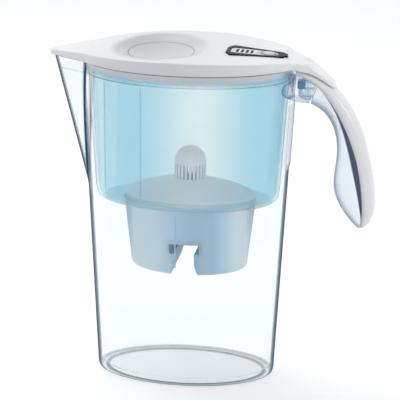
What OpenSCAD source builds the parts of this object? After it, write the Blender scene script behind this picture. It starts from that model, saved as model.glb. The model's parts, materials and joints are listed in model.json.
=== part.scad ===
// Water filter pitcher: a clear oval jug with a drop-in hopper, an oval filter
// cartridge, a lift-off lid with a tipping fill flap and a counter, and a hook handle.
// The origin is the middle of the underside. The spout points along -X, the handle
// along +X, and +Z is up. Sizes are in millimetres.

/* [Jug] */
// Height of the jug's rim
jug_h = 260; // [240:0.5:290]
// Length of the oval base
base_len = 142; // [125:0.5:150]
// Length of the oval rim, without spout and handle
rim_len = 170; // [160:0.5:195]
// Width of the ovals as a share of their length
oval = 0.635; // [0.6:0.005:0.7]
// Thickness of the jug's wall
jug_wall = 2.6; // [2.2:0.1:3.2]
// Thickness of the wall above the ledge that carries the hopper
rim_wall = 1.5; // [1.2:0.1:1.8]
// Depth of the ledge below the rim
ledge_drop = 14; // [12:0.5:18]
// Thickness of the jug's floor
floor_t = 5; // [4:0.1:7]
// Depth of the moulded groove that sets off the foot ring
foot_groove = 1.2; // [0.8:0.1:2]
// Width of the foot ring outside that groove
foot_wall = 8; // [7:0.5:12]
// Radius of the jug's lower edge
base_round = 4; // [2:0.5:5]

/* [Spout] */
// How far the spout's tip stands out from the oval rim
spout_reach = 22.5; // [16:0.5:26]
// Height at which the spout starts to leave the wall
spout_start = 150; // [120:1:190]
// Angle of each flank to the jug's length
spout_angle = 33; // [30:1:36]
// Radius of the spout's nose
spout_nose = 5; // [4:0.5:7]

/* [Hopper] */
// Gap between the tank's wall and the jug's wall, at the ledge
tank_gap = 2.3; // [1.5:0.1:4]
// Depth of the tank below the ledge
tank_depth = 102; // [85:1:110]
// Drawing-in of the tank's wall from ledge to floor, at each end
tank_draft = 6.5; // [6:0.5:9]
// Thickness of the hopper's walls
hopper_wall = 2; // [1.6:0.1:2.6]
// Radius of the tank's lower edge
tank_round = 7; // [4:0.5:9]
// Thickness of the flange that hangs on the ledge
flange_t = 2.4; // [1.8:0.1:3]

/* [Cartridge] */
// Length of the oval pocket for the cartridge, at the tank's floor
pocket_len = 105; // [90:1:112]
// Depth of the pocket below the tank's floor
pocket_depth = 56; // [46:1:62]
// Drawing-in of the pocket's wall from top to bottom, at each end
pocket_draft = 6; // [4:0.5:8]
// Place of the pocket along the jug
pocket_x = 2; // [-4:0.5:6]
// Gap between the cartridge and the pocket
cup_gap = 1.2; // [0.8:0.1:2]
// Wall of the cartridge
cup_wall = 1.6; // [1.2:0.1:2.2]
// Width of the cartridge's flange beyond the pocket's mouth
cup_flange = 3; // [2:0.5:5]
// Height of the cap's dome
dome_h = 12; // [9:0.5:16]
// Diameter of the slotted turret on the cap
turret_d = 25; // [20:0.5:30]
// Height of the turret's straight wall
turret_h = 13; // [10:0.5:16]
// Number of slots round the turret
turret_slots = 24; // [16:1:28]

/* [Handle] */
// Width of the white cover
cover_w = 26; // [22:0.5:32]
// Width of the clear grip
grip_w = 23; // [20:0.5:30]
// Width of the bracket on the jug
bracket_w = 23; // [20:0.5:26]

/* [Lid] */
// Height of the lid's crown above the jug's rim
lid_rise = 6.7; // [5:0.1:9]
// How far the lid's skirt reaches down over the rim
skirt_drop = 3; // [2:0.5:4]
// Wall of the lid
lid_wall = 2.2; // [1.8:0.1:2.6]
// Radius of the lid's long arch
arch_r = 1000; // [800:10:1500]
// Radius of the dish round the fill opening
dish_r = 36; // [32:0.5:40]
// Width of the dish and its opening across the lid as a share of their length
dish_wide = 1.2; // [1.1:0.01:1.25]
// Depth of the dish
dish_depth = 9; // [7:0.5:10]
// Place of the dish along the jug
dish_x = -22; // [-26:0.5:-18]
// Radius of the fill opening
flap_r = 26; // [22:0.5:28]
// Diameter of the flap's hinge pin
pin_d = 2.5; // [2:0.1:3]
// Diameter of the flap's counterweight
weight_d = 8; // [6:0.5:9]

/* [Counter] */
// Place of the counter along the jug
counter_x = 54; // [50:0.5:58]
// Place of the counter across the lid
counter_y = -3; // [-6:0.5:6]
// Length of the counter
counter_len = 48; // [44:0.5:50]
// Width of the counter's wide end
counter_w = 31; // [27:0.5:34]
// Diameter of the counter's button
button_d = 12.2; // [8:0.2:13]
// Travel of the button
button_travel = 0.8; // [0.4:0.1:1]

/* [Hidden] */
$fn = 96;
eps = 0.01;      // overlap that makes a cut or a joint clean
seat = 0.3;      // gap between parts that rest on or in each other
slide = 0.5;     // gap between parts that move past each other

// Colours as photographed
CLEAR = [0.86, 0.93, 0.96, 0.35];
CYAN = [0.55, 0.80, 0.90, 0.45];
WHITE = [0.94, 0.94, 0.95];
PALE = [0.82, 0.86, 0.90];
SLATE = [0.30, 0.35, 0.47];
NAVY = [0.20, 0.38, 0.66];
BLACK = [0.10, 0.10, 0.11];
STEEL = [0.70, 0.70, 0.72];

// ---- Jug sizes ----
base_a = base_len / 2;
rim_a = rim_len / 2;
jug_taper = (rim_a - base_a) / jug_h;
function jug_a(z) = base_a + jug_taper * z;
// Share of width to length for an oval that lies w inside one of half-length a
function inset_oval(a, k, w) = (a * k - w) / (a - w);
wall_oval = inset_oval((base_a + rim_a) / 2, oval, jug_wall);
rim_oval = inset_oval(rim_a, oval, rim_wall);
ledge_z = jug_h - ledge_drop;
floor_z = floor_t;
spout_x = -(rim_a + spout_reach - spout_nose);
spout_run = jug_h - spout_start;
spout_slope = jug_taper + spout_reach / spout_run;

// ---- Hopper and cartridge sizes ----
tank_a = jug_a(ledge_z) - jug_wall - tank_gap;
tank_floor_a = tank_a - tank_draft;
tank_oval = inset_oval(jug_a(ledge_z), oval, jug_wall + tank_gap);
tank_in_oval = inset_oval(tank_a, tank_oval, hopper_wall);
flange_a = jug_a(ledge_z) - rim_wall - slide;
tank_z = ledge_z - tank_depth;
floor_top = tank_z + hopper_wall;
pocket_a = pocket_len / 2;
pocket_z = tank_z - pocket_depth;
pocket_in_oval = inset_oval(pocket_a, oval, hopper_wall);
cup_a = pocket_a - hopper_wall - cup_gap;
cup_oval = inset_oval(pocket_a, oval, hopper_wall + cup_gap);
cup_in_oval = inset_oval(cup_a, cup_oval, cup_wall);
cup_z = pocket_z + hopper_wall + cup_gap;
seal_t = 1.2;
flange_z = floor_top + seat + seal_t + eps;
cup_flange_t = 2;
cap_z = flange_z + cup_flange_t + eps;
cap_a = cup_a + cup_flange;
function cup_half(z) = cup_a - pocket_draft * (flange_z - z) / (flange_z - cup_z);

// ---- Lid sizes ----
lid_top = jug_h + lid_rise;
skirt_z = jug_h - skirt_drop;
skirt_a = rim_a + seat + lid_wall;
plug_z = ledge_z + flange_t + 3 * seat;
plug_wall = 1.8;
plug_oval = inset_oval(rim_a, oval, rim_wall + seat);
plug_in_oval = inset_oval(rim_a, oval, rim_wall + seat + plug_wall);
function plug_half(z) = jug_a(z) - rim_wall - seat;
dish_ball = (dish_r * dish_r + dish_depth * dish_depth) / (2 * dish_depth);
dish_mid = lid_top - dish_depth + dish_ball;
function lid_surface(x) = lid_top - arch_r + sqrt(arch_r * arch_r - x * x);
// Height of a ball's underside at distance r from its axis, the ball's radius being ball
function bowl_z(ball, r) = dish_mid - sqrt(ball * ball - r * r);
flap_t = 2;
hinge_x = dish_x + flap_r + 4;
hinge_z = bowl_z(dish_ball + lid_wall, flap_r) - 3.2;
barrel_r = 2.6;
barrel_w = 26;
ear_w = 3;
ear_r = 3.4;
weight_arm = [14, -8];
weight_w = 28;

// ---- Counter layers, measured from the lid's surface ----
bezel_top = 0.7;
bezel_low = -1.1;
case_low = -8.6;
case_wall = 1;
case_inset = 1.4;
button_flange_z = bezel_low - 1;
dome_switch_h = 0.3;
board_top = button_flange_z - button_travel - seat - dome_switch_h;
board_low = board_top - 1.4;
display_low = board_top + 0.1;
display_high = bezel_low - 0.1;

// ================= Shared shapes =================

// Quarter circle of radius r about c, from pointing down to pointing outward
function quarter(c, r, n = 6) = [for (i = [0:n]) c + r * [sin(90 * i / n), -cos(90 * i / n)]];

// Oval turned solid, made as two halves that meet in the middle of its long sides.
// The profile gives half-lengths, and k is the width as a share of the length.
module oval_turn(profile, k) {
    for (turn = [-90, 90])
        scale([1, k, 1]) rotate([0, 0, turn]) rotate_extrude(angle = 180) polygon(profile);
}

// Oval cone between the half-lengths a0 at z0 and a1 at z1
module oval_cone(a0, a1, z0, z1, k) {
    oval_turn([[0, z0], [a0, z0], [a1, z1], [0, z1]], k);
}

// Oval tub with a rounded lower edge
module oval_tub(a0, a1, z0, z1, k, r) {
    oval_turn(concat([[0, z0]], quarter([a0 - r, z0 + r], r), [[a1, z1], [0, z1]]), k);
}

// Ring between two ovals of half-length a and widths ka and kb as shares
module oval_ring(a_out, k_out, a_in, k_in, z0, z1) {
    difference() {
        oval_cone(a_out, a_out, z0, z1, k_out);
        oval_cone(a_in, a_in, z0 - 1, z1 + 1, k_in);
    }
}

// Plan of the spout at the rim: a round nose of radius r and two straight flanks
module spout_plan(r) {
    touch_x = spout_x - r * sin(spout_angle);
    touch_y = r * cos(spout_angle);
    back_x = -rim_a * 0.74;
    back_y = touch_y + (back_x - touch_x) * tan(spout_angle);
    turn = 90 - spout_angle;
    nose = [for (i = [-6:6]) [spout_x - r * cos(turn * i / 6), r * sin(turn * i / 6)]];
    polygon(concat([[back_x, -back_y]], nose, [[back_x, back_y]]));
}

// The spout leans outward as it rises, so its plan is sheared along the height
module spout_prism(r, z0, z1) {
    multmatrix([[1, 0, -spout_slope, spout_slope * jug_h], [0, 1, 0, 0],
                [0, 0, 1, 0], [0, 0, 0, 1]])
        translate([0, 0, z0]) linear_extrude(z1 - z0) spout_plan(r);
}

// Side view outline given in X and Z, made w wide across Y
module slab(outline, w) {
    translate([0, w / 2, 0]) rotate([90, 0, 0]) linear_extrude(w) polygon(outline);
}

// Bar along Y with its middle at x and z
module bar(x, z, r, w) {
    translate([x, w / 2, z]) rotate([90, 0, 0]) cylinder(h = w, r = r);
}

// Key-shaped cross-section of the tunnel below the cartridge, grown by g all round
key_head = [12, 8];
key_stem = 8;
key_foot = 11;
key_top = pocket_z + 26;
function key_half(g) = [[key_foot + g, pocket_z - 1], [key_stem + g, pocket_z + 9],
    [key_stem + g, key_top - key_head[1] - g], [key_head[0] + g, key_top - key_head[1] - g],
    [key_head[0] + g, key_top + g]];
function key_outline(g) = concat(key_half(g), [for (i = [4:-1:0]) [-key_half(g)[i][0], key_half(g)[i][1]]]);

module key_prism(g) {
    translate([pocket_x, 0, 0]) slab(key_outline(g), pocket_len);
}

// Straight notch in the cartridge that lets it drop over the tunnel, g clear of its head
module key_notch(g) {
    half = key_head[0] + g;
    translate([pocket_x - half, -pocket_a, pocket_z]) cube([2 * half, pocket_len, key_top + g - pocket_z]);
}

// ================= Jug =================

module jug_cavity() {
    r = base_round;
    oval_turn(concat([[0, floor_z]], quarter([jug_a(floor_z) - jug_wall - r, floor_z + r], r),
        [[jug_a(ledge_z) - jug_wall, ledge_z], [0, ledge_z]]), wall_oval);
    oval_cone(jug_a(ledge_z) - rim_wall, rim_a - rim_wall, ledge_z - eps, jug_h + 1, rim_oval);
    spout_prism(spout_nose - jug_wall, spout_start - 20, jug_h + 1);
}

// Side of the hollow bracket at the handle's root, its top and floor thinned by g
bracket_z = jug_h - 32;
bracket_high = jug_h - 12.5;
bracket_end = rim_a + 11;
bracket_lean = 0.347;
function bracket_side(g) = [
    [rim_a - 8, bracket_high - g], [rim_a + 8, bracket_high - 0.7 - g], [rim_a + 16, bracket_high - 5.1 - g],
    [bracket_end, bracket_z + g], [rim_a + 2, bracket_z + g], [rim_a - 8, bracket_z + 4 + g]];

module jug_bracket() {
    difference() {
        union() {
            slab(bracket_side(0), bracket_w);
            // Flared root that spreads the handle's load over the wall
            intersection() {
                translate([rim_a - 16, 0, jug_h - 14]) rotate([0, 90, 0])
                    cylinder(h = 20, r1 = 27, r2 = bracket_w / 2 - 1);
                translate([rim_a - 20, -40, 0]) cube([40, 80, bracket_high]);
            }
        }
        slab([for (p = bracket_side(2.4)) p + [p[0] > rim_a + 2 ? 5 : 0, 0]], bracket_w - 4.6);
    }
    // Two posts that stiffen the open end
    for (s = [-1, 1])
        translate([bracket_end - 2.2, s * (bracket_w / 2 - 4.2), bracket_z + 1])
            cylinder(h = bracket_high - bracket_z - 3, r = 1.4);
}

// Thickened strip down the back wall, from low to high, its width and its rise
strip_z = [jug_h - 86, jug_h - 34];
strip_w = 26;
strip_t = 0.8;

module jug_body() {
    color(CLEAR) difference() {
        union() {
            oval_tub(base_a, rim_a, 0, jug_h, oval, base_round);
            spout_prism(spout_nose, spout_start - 20, jug_h);
            jug_bracket();
            intersection() {
                oval_cone(jug_a(strip_z[0]) + strip_t, jug_a(strip_z[1]) + strip_t,
                    strip_z[0], strip_z[1], oval);
                translate([0, -strip_w / 2, strip_z[0] - 1]) cube([rim_a + 4, strip_w, jug_h]);
            }
        }
        jug_cavity();
        oval_ring(base_a - foot_wall, oval, base_a - foot_wall - 3, oval, -1, foot_groove);
    }
}

// ================= Handle =================

// Edges of the handle seen from the side, from the jug's rim to the tip
function from_rim(points) = [for (p = points) [rim_a, jug_h] + p];
cover_edge = from_rim([[-1, -5.5], [27, -6], [48, -36.5], [62, -57.5], [47.5, -68], [81.5, -117],
    [54, -133.5]]);
split_edge = from_rim([[-0.5, -9.5], [31, -7.5], [57, -89.5], [53.5, -133.5]]);
grip_edge = from_rim([[-4, -29], [-17, -48], [61.5, 24], [49, -144], [2, -55], [38.5, -129.5], [53, -133.3]]);

function bezier(p, t) = len(p) == 1 ? p[0] :
    bezier([for (i = [0:len(p) - 2]) p[i] * (1 - t) + p[i + 1] * t], t);

// Ring across the handle from the side-view point a to b: flat at a, round at b.
// half is half the width and n the number of points on the round side.
function d_ring(a, b, half, n = 18, lift = 0.75) = concat(
    [for (i = [0:n]) let (u = 180 * i / n, c = cos(u), q = a + (b - a) * pow(max(sin(u), 0), lift))
        [q[0], -half * sign(c) * pow(abs(c), 0.62), q[1]]]);

// Closed skin through a list of rings that all have as many points
module loft(rings) {
    n = len(rings[0]);
    m = len(rings);
    sides = [for (j = [0:m - 2], i = [0:n - 1]) let (a = j * n + i, b = j * n + (i + 1) % n)
        each [[a, b, a + n], [b, b + n, a + n]]];
    ends = [[for (i = [0:n - 1]) n - 1 - i], [for (i = [0:n - 1]) (m - 1) * n + i]];
    polyhedron(points = [for (r = rings) each r], faces = concat(sides, ends));
}

cover_t = [for (i = [0:36]) 0.012 + 0.972 * i / 36];
module handle_cover() {
    color(WHITE) loft([for (t = cover_t)
        d_ring(bezier(split_edge, t), bezier(cover_edge, t), cover_w / 2 * (1 - 0.55 * pow(t, 7)))]);
}

// Depth of the soft liner between grip and cover
function liner_depth(t) = t < 0.36 || t > 0.93 ? 0 : 2.6 * sin(180 * (t - 0.36) / 0.57);
module grip_liner() {
    color(SLATE) loft([for (i = [0:20]) let (t = 0.39 + 0.51 * i / 20, a = bezier(split_edge, t),
        b = bezier(grip_edge, t), n = (b - a) / norm(b - a))
        d_ring(a + n * 0.15, a + n * (liner_depth(t) - 0.15), grip_w / 2, 8, 0.3)]);
}

module handle_grip() {
    tongue = [for (x = [rim_a + 3, bracket_end + 0.4])
        d_ring([x + 10 * bracket_lean, bracket_z + 10], [x + 3 * bracket_lean, bracket_z + 3], 4)];
    body = [for (i = [0:36]) let (t = 0.2 + 0.78 * i / 36, a = bezier(split_edge, t),
        b = bezier(grip_edge, t), n = (b - a) / norm(b - a))
        d_ring(a + n * (liner_depth(t) + 0.15), b, grip_w / 2 * (1 - 0.5 * pow(t, 7)))];
    color(CLEAR) loft(concat(tongue, body));
}

module handle_latch() {
    low = bracket_z + 10.4;
    color(NAVY) translate([rim_a + 1, -5, low]) cube([6, 10, bracket_high - 3.1 - seat - low]);
}

// ================= Hopper =================

// Upright rib from z0 to z1 on the side towards -Y, rib_t proud of an oval cone about x = 0
rib_t = 0.7;
rib_w = 1.2;
module rib(x, a0, a1, z0, z1, k) {
    intersection() {
        oval_cone(a0 + rib_t, a1 + rib_t, z0, z1, k);
        translate([x - rib_w / 2, -jug_h, z0]) cube([rib_w, jug_h, z1 - z0]);
    }
}

module hopper() {
    color(CYAN) difference() {
        union() {
            difference() {
                union() {
                    oval_tub(tank_floor_a, tank_a, tank_z, ledge_z + seat + eps, tank_oval, tank_round);
                    oval_cone(flange_a, flange_a, ledge_z + seat, ledge_z + seat + flange_t, rim_oval);
                    for (x = rib_x) rib(x, tank_floor_a + tank_draft * 0.1, tank_a,
                        tank_z + tank_depth * 0.1, ledge_z - 2, tank_oval);
                }
                oval_tub(tank_floor_a - hopper_wall, tank_a - hopper_wall, floor_top,
                    ledge_z + seat + flange_t + 1, tank_in_oval, tank_round - 1);
            }
            translate([pocket_x, 0, 0])
                oval_tub(pocket_a - pocket_draft, pocket_a, pocket_z, floor_top, oval, 5);
            translate([pocket_x, 0, 0]) rib(pocket_rib_x, pocket_a - pocket_draft * 0.9,
                pocket_a - pocket_draft * 0.1, pocket_z + pocket_depth * 0.1,
                tank_z - pocket_depth * 0.1, oval);
        }
        // Pocket, all but the walls of the tunnel
        difference() {
            translate([pocket_x, 0, 0]) oval_tub(pocket_a - pocket_draft - hopper_wall,
                pocket_a - hopper_wall, pocket_z + hopper_wall, floor_top + 1, pocket_in_oval, 4);
            key_prism(hopper_wall);
        }
        key_prism(0);
        // Two outlets
        for (s = [-1, 1])
            translate([pocket_x + s * outlet_x, 0, pocket_z - 1]) cylinder(h = 5, r = outlet_r);
    }
}
rib_x = [-62, -31];
pocket_rib_x = -7;
outlet_x = 22.5;
outlet_r = 3.5;

// ================= Cartridge =================

module cup_solid(inset, k, z0, z1) {
    translate([pocket_x, 0, 0]) oval_tub(cup_half(z0) - inset, cup_half(z1) - inset, z0, z1, k, 4);
}

cup_key = hopper_wall + cup_gap;
module cartridge_cup() {
    color(WHITE) difference() {
        union() {
            cup_solid(0, cup_oval, cup_z, flange_z + eps);
            translate([pocket_x, 0, 0])
                oval_cone(cap_a, cap_a, flange_z, flange_z + cup_flange_t, cup_oval);
        }
        difference() {
            cup_solid(cup_wall, cup_in_oval, cup_z + cup_wall, flange_z + cup_flange_t + 1);
            key_notch(cup_key + cup_wall);
        }
        key_notch(cup_key);
        // Slots that let the filtered water out
        for (s = [-1, 1], i = [-3:3])
            translate([pocket_x + s * 26 + i * 3 - 0.6, -8, cup_z - 1]) cube([1.2, 16, 4]);
    }
}

module cartridge_seal() {
    k = cup_oval;
    color(PALE) translate([pocket_x, 0, 0])
        oval_ring(cap_a - 0.4, k, cup_a + 0.4, k, floor_top + seat, floor_top + seat + seal_t);
}

module filter_media() {
    color([0.25, 0.25, 0.27]) difference() {
        cup_solid(cup_wall + 0.4, cup_in_oval, cup_z + cup_wall + 2, flange_z - 2);
        key_notch(cup_key + cup_wall + 0.4);
    }
}

// Oval plate with rows of holes, cut to the inside of the cup
module screen(z, t, pitch) {
    difference() {
        intersection() {
            cup_solid(cup_wall + 0.5, cup_in_oval, cup_z + cup_wall + 0.2, flange_z);
            translate([-100, -60, z]) cube([200, 120, t]);
        }
        for (i = [-4:4], j = [-2:2])
            translate([pocket_x + i * pitch, j * pitch, z - 1]) cylinder(h = t + 2, r = 1.6);
    }
}

module inlet_screen() {
    color(WHITE) screen(flange_z - 1.6, 1.2, 9);
}

module outlet_screens() {
    color(WHITE) difference() {
        screen(cup_z + cup_wall + 0.4, 1, 8.5);
        key_notch(cup_key + cup_wall + 0.4);
    }
}

module cartridge_cap() {
    dome_ball = (cap_a * cap_a + dome_h * dome_h) / (2 * dome_h);
    turret_z = cap_z + dome_h - 2;
    r = turret_d / 2;
    color(WHITE) translate([pocket_x, 0, 0]) difference() {
        union() {
            scale([1, cup_oval, 1]) intersection() {
                translate([0, 0, cap_z + dome_h - dome_ball]) sphere(r = dome_ball, $fn = 180);
                translate([0, 0, cap_z]) cylinder(h = dome_h + 1, r = cap_a - 1);
            }
            translate([0, 0, cap_z + 1]) cylinder(h = dome_h - 1 + turret_h, r = r);
            translate([0, 0, cap_z + dome_h + turret_h]) sphere(r = r);
        }
        scale([1, cup_oval, 1]) intersection() {
            translate([0, 0, cap_z + dome_h - dome_ball]) sphere(r = dome_ball - 1.6, $fn = 180);
            translate([0, 0, cap_z - 1]) cylinder(h = dome_h + 1, r = cap_a - 3);
        }
        translate([0, 0, cap_z - 1]) cylinder(h = dome_h + 1 + turret_h, r = r - 1.6);
        translate([0, 0, cap_z + dome_h + turret_h]) sphere(r = r - 1.6);
        // Inlet slots round the turret
        for (i = [0:turret_slots - 1]) rotate([0, 0, 360 * i / turret_slots])
            translate([r - 3, -0.6, turret_z + 2]) cube([4, 1.2, turret_h - 1]);
    }
}

// ================= Lid =================

module lid_arch(inset) {
    bar(0, lid_top - arch_r, arch_r - inset, 200, $fn = 360);
}

// Plan of the lid's body: the oval and the visor over the spout
module lid_form(z0, z1) {
    oval_cone(skirt_a, skirt_a - 1.4, z0, z1, inset_oval(rim_a, oval, rim_a - skirt_a));
    translate([0, 0, z0]) linear_extrude(z1 - z0) spout_plan(spout_nose + seat + lid_wall);
}

// Tail over the handle's root: side view cut to its tapering plan
module lid_tail() {
    reach = [0.3, 0.7];
    side = concat([[rim_a - 14, lid_surface(rim_a - 14)], [rim_a - 7, lid_surface(rim_a - 7) - 0.2],
        [rim_a + 9.5, jug_h - 1.0], [rim_a + 29, jug_h - 15.5], [rim_a + 30.2, jug_h - 17.6]],
        [for (i = [9:-1:1]) bezier(cover_edge, i * 0.032) + reach],
        [[rim_a - 0.2, skirt_z], [rim_a - 14, skirt_z]]);
    intersection() {
        slab(side, 80);
        translate([0, 0, jug_h - 30]) linear_extrude(60) polygon([
            [rim_a - 14, -31], [rim_a - 8, -27], [rim_a - 1, -18], [rim_a + 9.5, -12.5],
            [rim_a + 26, -9], [rim_a + 30, -6], [rim_a + 31, 0], [rim_a + 30, 6],
            [rim_a + 26, 9], [rim_a + 9.5, 12.5], [rim_a - 1, 18], [rim_a - 8, 27], [rim_a - 14, 31]]);
    }
}

module in_counter() {
    translate([counter_x, counter_y, lid_surface(counter_x)])
        rotate([0, asin(counter_x / arch_r), 0]) children();
}

// Outline of the counter grown by g: wide at the spout end, narrow at the handle end
module counter_plan(g) {
    l = counter_len / 2;
    w = counter_w / 2;
    polygon([for (p = [[-1, -0.5, 0], [-1, -1, 1], [1, -0.5, 1], [1, -0.2, 0],
                       [1, 0.2, 0], [1, 0.5, 1], [-1, 1, 1], [-1, 0.5, 0]])
        [p[0] * (p[2] == 0 ? l + g : l - 4 + g / 2), p[1] * w + (p[2] == 0 ? 0 : sign(p[1]) * g)]]);
}

// Bowl of the dish, and the upright oval of half-length r about its middle
module dish_bowl(r) {
    translate([dish_x, 0, dish_mid]) scale([1, dish_wide, 1]) sphere(r = r, $fn = 180);
}

module dish_well(r, z0, z1) {
    translate([dish_x, 0, 0]) scale([1, dish_wide, 1]) translate([0, 0, z0]) cylinder(h = z1 - z0, r = r);
}

module plug_cone(inset, k, z0, z1) {
    oval_cone(plug_half(z0) - inset, plug_half(z1) - inset, z0, z1, k);
}

module lid() {
    color(WHITE) difference() {
        union() {
            difference() {
                intersection() {
                    union() {
                        lid_form(skirt_z, lid_top + 2);
                        lid_tail();
                    }
                    lid_arch(0);
                }
                // Hollow inside the plug
                intersection() {
                    plug_cone(plug_wall, plug_in_oval, skirt_z - 1, lid_top + 2);
                    lid_arch(lid_wall);
                }
                // Groove for the jug's rim, and its run along the spout
                difference() {
                    union() {
                        oval_cone(rim_a + seat, rim_a + seat, skirt_z - 1, jug_h + seat,
                            inset_oval(rim_a, oval, -seat));
                        translate([0, 0, skirt_z - 1]) linear_extrude(skirt_drop + 1 + seat)
                            spout_plan(spout_nose + seat);
                    }
                    plug_cone(0, plug_oval, skirt_z - 2, jug_h + 1);
                }
            }
            // Plug inside the rim
            difference() {
                plug_cone(0, plug_oval, plug_z, jug_h + 2);
                plug_cone(plug_wall, plug_in_oval, plug_z - 1, jug_h + 3);
            }
            // Underside of the dish
            intersection() {
                dish_bowl(dish_ball + lid_wall);
                lid_arch(eps);
                dish_well(dish_r + 4, 0, lid_top + 9);
            }
            hinge_ears();
        }
        dish_bowl(dish_ball);
        dish_well(flap_r, lid_top - 30, lid_top + 10);
        bar(hinge_x, hinge_z, pin_d / 2, barrel_w + 2 * ear_w + 4);
        in_counter() {
            translate([0, 0, bezel_low - 0.1]) linear_extrude(5) counter_plan(0.25);
            translate([0, 0, -12]) linear_extrude(14) counter_plan(seat - case_inset);
        }
    }
}

// Ears that hold the ends of the flap's pin
module hinge_ears() {
    for (s = [-1, 1]) translate([0, s * (barrel_w + ear_w + 1) / 2, 0]) {
        bar(hinge_x, hinge_z, ear_r, ear_w);
        translate([hinge_x - ear_r, -ear_w / 2, hinge_z]) cube([2 * ear_r, ear_w, 6]);
    }
}

module fill_flap() {
    weight_x = hinge_x + weight_arm[0];
    weight_z = hinge_z + weight_arm[1];
    color(WHITE) difference() {
        union() {
            // Bowl that completes the dish
            difference() {
                intersection() {
                    dish_bowl(dish_ball + flap_t);
                    dish_well(flap_r - slide, lid_top - 30, lid_top);
                }
                dish_bowl(dish_ball);
            }
            // Stop tab under the lid at the free end
            translate([dish_x - flap_r - 3, -6, bowl_z(dish_ball + lid_wall, flap_r) - 2.3])
                cube([8, 12, 2]);
            // Web and barrel
            translate([dish_x + 12, -11, hinge_z - 1.5]) cube([flap_r - 8, 22, 3.2]);
            bar(hinge_x, hinge_z, barrel_r, barrel_w);
            // Arms that carry the counterweight
            for (s = [-1, 1]) translate([0, s * 9, 0]) {
                bar(weight_x, weight_z, weight_d / 2 + 1.5, 3);
                translate([hinge_x, -1.5, hinge_z])
                    rotate([0, atan2(-weight_arm[1], weight_arm[0]), 0])
                    translate([0, 0, -2]) cube([norm(weight_arm), 3, 4]);
            }
        }
        bar(hinge_x, hinge_z, pin_d / 2 + 0.08, barrel_w + 4);
        bar(weight_x, weight_z, weight_d / 2, weight_w);
    }
}

module flap_pin() {
    color(STEEL) bar(hinge_x, hinge_z, pin_d / 2 - 0.01, barrel_w + 2 * ear_w + 1);
}

module flap_weight() {
    color(STEEL) bar(hinge_x + weight_arm[0], hinge_z + weight_arm[1], weight_d / 2 - 0.01, weight_w);
}

// ================= Counter =================

window_mid = [-10.5, 0];
window_size = [20, 15];
panel_corner = 3;
panel_fit = 0.15;
button_fit = 0.2;
button_x = 9;

// Outline of the clear panel, grown by g: over the display, and round about the button
module counter_panel(g) {
    half = window_size[1] / 2 + g;
    left = window_mid[0] - window_size[0] / 2 - g;
    translate([left + panel_corner, -half]) square([button_x - left - panel_corner, 2 * half]);
    translate([left, panel_corner - half]) square([panel_corner + 1, 2 * (half - panel_corner)]);
    for (s = [-1, 1]) translate([left + panel_corner, s * (half - panel_corner)]) circle(r = panel_corner);
    translate([button_x, 0]) circle(r = half);
}

module counter_bezel() {
    color(BLACK) in_counter() difference() {
        translate([0, 0, bezel_low]) linear_extrude(bezel_top - bezel_low) counter_plan(0);
        translate([0, 0, bezel_low - 1]) linear_extrude(5) counter_panel(0);
    }
}

module counter_window() {
    color(CLEAR) in_counter() difference() {
        translate([0, 0, bezel_low]) linear_extrude(bezel_top - bezel_low - 0.3) counter_panel(-panel_fit);
        translate([button_x, 0, bezel_low - 1]) cylinder(h = 5, r = button_d / 2 + button_fit);
    }
}

module counter_display() {
    color([0.80, 0.84, 0.82]) in_counter()
        translate([window_mid[0] - window_size[0] / 2 - 0.3, -window_size[1] / 2 - 0.3, display_low])
            cube([window_size[0] + 0.6, window_size[1] + 0.6, display_high - display_low]);
}

module counter_button() {
    color([0.78, 0.80, 0.82]) in_counter() {
        translate([button_x, 0, button_flange_z])
            cylinder(h = bezel_top + 0.4 - button_flange_z, r = button_d / 2);
        translate([button_x, 0, button_flange_z]) cylinder(h = 0.8, r = button_d / 2 + 0.7);
    }
}

module counter_board() {
    color([0.10, 0.40, 0.25]) in_counter() {
        translate([0, 0, board_low]) linear_extrude(board_top - board_low)
            counter_plan(-case_inset - case_wall - seat);
        translate([button_x, 0, board_top - eps]) cylinder(h = dome_switch_h + eps, r = 2);
    }
}

module coin_cell() {
    color(STEEL) in_counter() translate([-8, 0, board_low - 2.1]) cylinder(h = 2, r = 6.2);
}

module counter_case() {
    color(PALE) in_counter() difference() {
        translate([0, 0, case_low]) linear_extrude(bezel_low - 0.1 - case_low) counter_plan(-case_inset);
        difference() {
            translate([0, 0, case_low + case_wall]) linear_extrude(12) counter_plan(-case_inset - case_wall);
            // Pegs that carry the board
            for (p = [[-18, 10], [-18, -10], [17, 3], [17, -3]])
                translate([p[0], p[1], case_low]) cylinder(h = board_low - 0.1 - case_low, r = 1.2);
        }
    }
}

// ================= Assembly =================

jug_body();
handle_grip();
handle_cover();
grip_liner();
handle_latch();
hopper();
cartridge_cup();
cartridge_cap();
cartridge_seal();
filter_media();
inlet_screen();
outlet_screens();
lid();
fill_flap();
flap_pin();
flap_weight();
counter_bezel();
counter_window();
counter_display();
counter_button();
counter_board();
coin_cell();
counter_case();
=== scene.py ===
import json
import math

import bmesh
import bpy
import numpy as np
from mathutils import Matrix, Vector

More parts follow.
